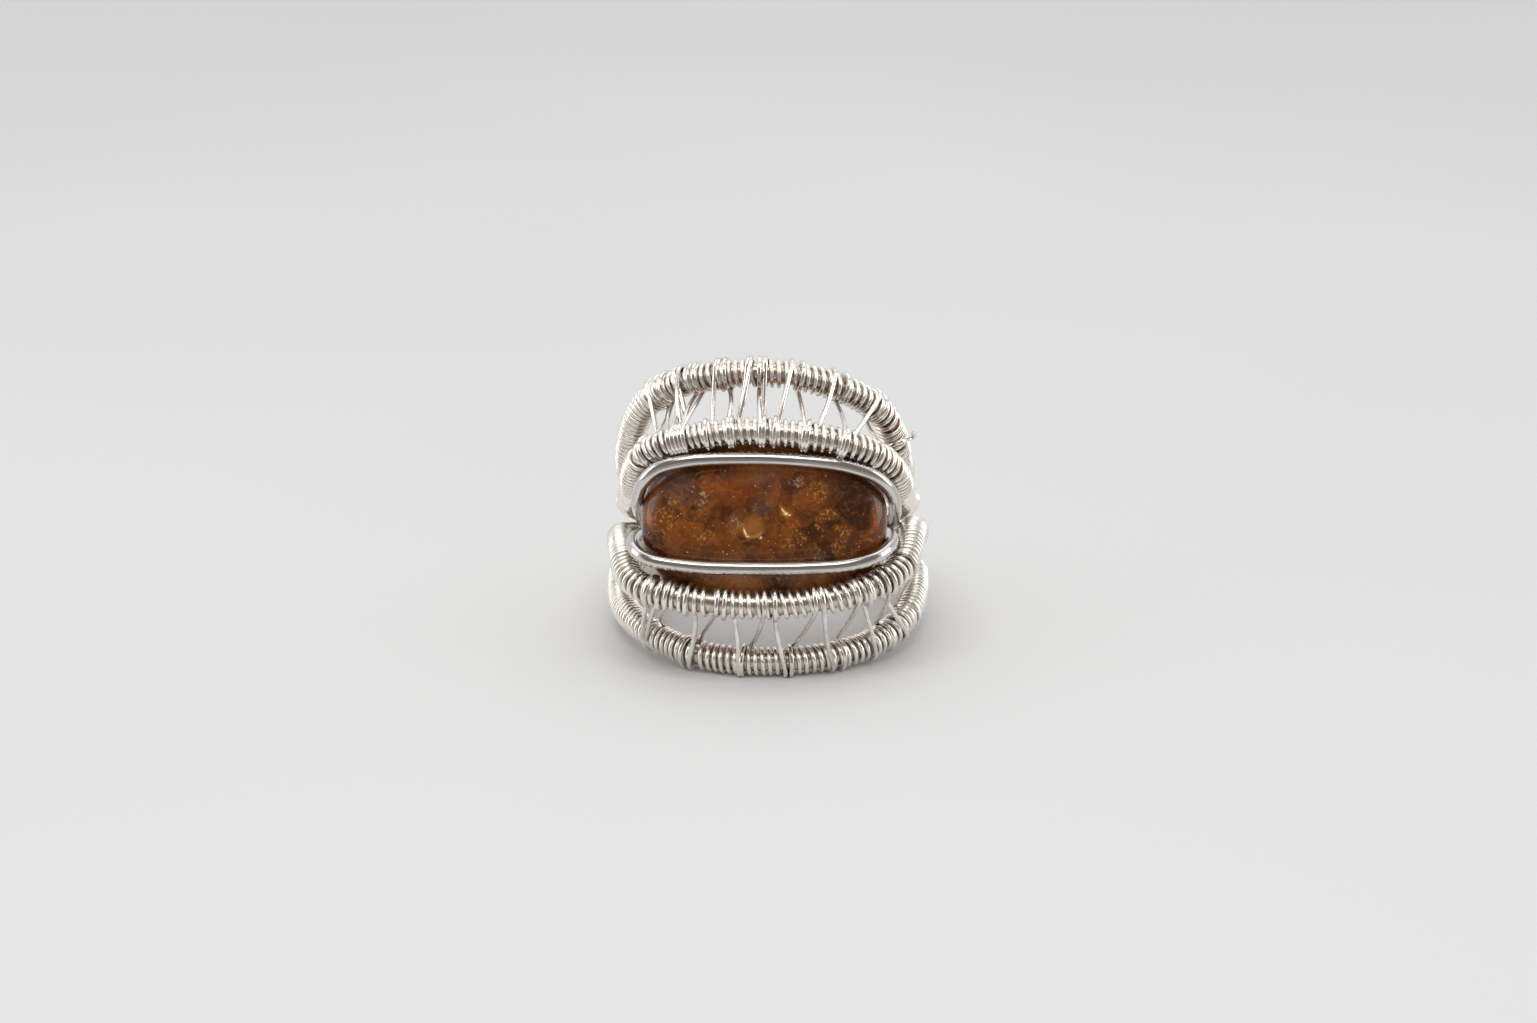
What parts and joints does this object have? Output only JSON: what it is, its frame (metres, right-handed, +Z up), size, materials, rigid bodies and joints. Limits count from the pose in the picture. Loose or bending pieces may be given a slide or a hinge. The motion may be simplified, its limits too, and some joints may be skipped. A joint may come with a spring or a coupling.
{
  "type": "wire-wrapped bronzite ring",
  "caption": "Finger ring of coiled and plain silver-coloured wire, open like a cage, holding an oblong brown bronzite stone across the finger.",
  "frame": {"origin": "bottom centre of the box round the ring as it lies on a table, on the front of its lowest rail and the back of its band", "axes": "+X to the wearer's right across the stone's length, +Y from the stone towards the back of the band, +Z up; the finger's axis leans 16.7 degrees from +Z towards +Y"},
  "size_m": [0.0238, 0.029, 0.0217],
  "materials": {
    "bronzite": "polished, orange to dark brown with gold veins",
    "coiled_wire": "bright silver-plated copper wire, closely wound",
    "polished_wire": "mirror-polished silver-plated copper wire",
    "fine_wire": "bright silver-plated copper wire"
  },
  "bodies": {
    "root": {"stone": "bronzite", "upper_outer_rail": "coiled_wire", "upper_inner_rail": "coiled_wire", "upper_bezel_wire": "polished_wire", "lower_bezel_wire": "polished_wire", "lower_inner_rail": "coiled_wire", "lower_outer_rail": "coiled_wire", "left_binding": "fine_wire", "right_binding": "fine_wire"}
  },
  "joints": []
}
